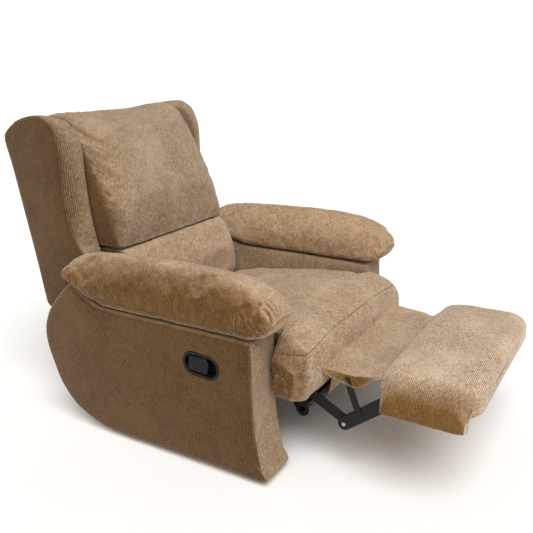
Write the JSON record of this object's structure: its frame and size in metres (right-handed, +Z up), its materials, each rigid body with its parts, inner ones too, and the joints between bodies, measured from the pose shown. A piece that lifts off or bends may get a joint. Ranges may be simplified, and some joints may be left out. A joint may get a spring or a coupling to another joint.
{
  "type": "recliner armchair",
  "caption": "Upholstered recliner armchair with padded arms, reclining back, folding footrest and a pull handle in one arm.",
  "frame": {"origin": "on the floor, under the middle of the chair as it stands open", "axes": "+Z up, the sitter faces -Y, +X is the sitter's left"},
  "size_m": [0.992, 1.6313, 1.0286],
  "materials": {
    "chenille": "woven chenille",
    "chenille_panel": "woven chenille over board",
    "black_plastic": "satin moulded",
    "nylon": "moulded",
    "timber": "raw",
    "spring_steel": "drawn wire",
    "black_steel": "black enamel",
    "zinc_steel": "zinc plated"
  },
  "bodies": {
    "base": {"right_arm_cover": "chenille", "left_arm_cover": "chenille", "right_arm_frame": "timber", "left_arm_frame": "timber", "right_arm_pillow": "chenille", "left_arm_pillow": "chenille", "arm_feet": "nylon", "rear_cross_rail": "timber", "front_cross_tube": "black_steel", "rear_cross_tube": "black_steel", "right_base_rail": "black_steel", "left_base_rail": "black_steel", "rail_bolts": "zinc_steel", "handle_bezel": "black_plastic", "handle_pin": "zinc_steel", "seat_cushion": "chenille", "seat_frame": "timber", "seat_springs": "spring_steel", "right_seat_plate": "black_steel", "left_seat_plate": "black_steel", "seat_cross_tube": "black_steel", "mount_spacers": "black_steel", "mount_bolts": "zinc_steel", "flap_tail": "chenille", "right_recline_plate": "black_steel", "left_recline_plate": "black_steel", "recline_rivets": "zinc_steel", "recline_tube": "black_steel", "back_pins": "zinc_steel"},
    "release_handle": {"release_handle": "black_plastic"},
    "lower_links": {"drive_tube": "black_steel", "right_lower_link": "black_steel", "left_lower_link": "black_steel", "knee_pins": "zinc_steel"},
    "ottoman_arms": {"right_ottoman_arm": "black_steel", "left_ottoman_arm": "black_steel", "right_flap_stay": "black_steel", "left_flap_stay": "black_steel"},
    "footrest": {"footrest_board": "timber", "footrest_pad": "chenille", "right_footrest_bracket": "black_steel", "left_footrest_bracket": "black_steel", "footrest_pins": "zinc_steel", "bridge_flap": "chenille"},
    "back": {"rear_panel": "chenille_panel", "back_frame": "timber", "back_springs": "spring_steel", "right_back_bracket": "black_steel", "left_back_bracket": "black_steel", "right_wing": "chenille", "left_wing": "chenille", "upper_back_cushion": "chenille", "lumbar_cushion": "chenille"}
  },
  "joints": [
    {"name": "lower_link_pivot", "type": "hinge", "parent": "base", "child": "lower_links", "pos_m": [0, -0.23, 0.266], "axis": [1, 0, 0], "range_deg": [0, 103.03]},
    {"name": "knee_pivot", "type": "hinge", "parent": "lower_links", "child": "ottoman_arms", "pos_m": [0, -0.422, 0.165], "axis": [-1, 0, 0], "range_deg": [0, 97.5]},
    {"name": "footrest_pivot", "type": "hinge", "parent": "ottoman_arms", "child": "footrest", "pos_m": [0, -0.7, 0.278], "axis": [1, 0, 0], "range_deg": [0, 84.5], "deforming": ["bridge_flap"]},
    {"name": "back_recline", "type": "hinge", "parent": "base", "child": "back", "pos_m": [0, 0.41, 0.33], "axis": [-1, 0, 0], "range_deg": [0, 25]},
    {"name": "release_handle_pivot", "type": "hinge", "parent": "base", "child": "release_handle", "pos_m": [-0.478, -0.01608, 0.35237], "axis": [0, 0.0698, -0.9976], "range_deg": [0, 30], "stiffness_Nm_per_rad": 0.25}
  ],
  "couplings": [
    {"joint": "knee_pivot", "follows": "lower_link_pivot", "ratio": 0.9321},
    {"joint": "footrest_pivot", "follows": "lower_link_pivot", "ratio": 0.8056}
  ]
}
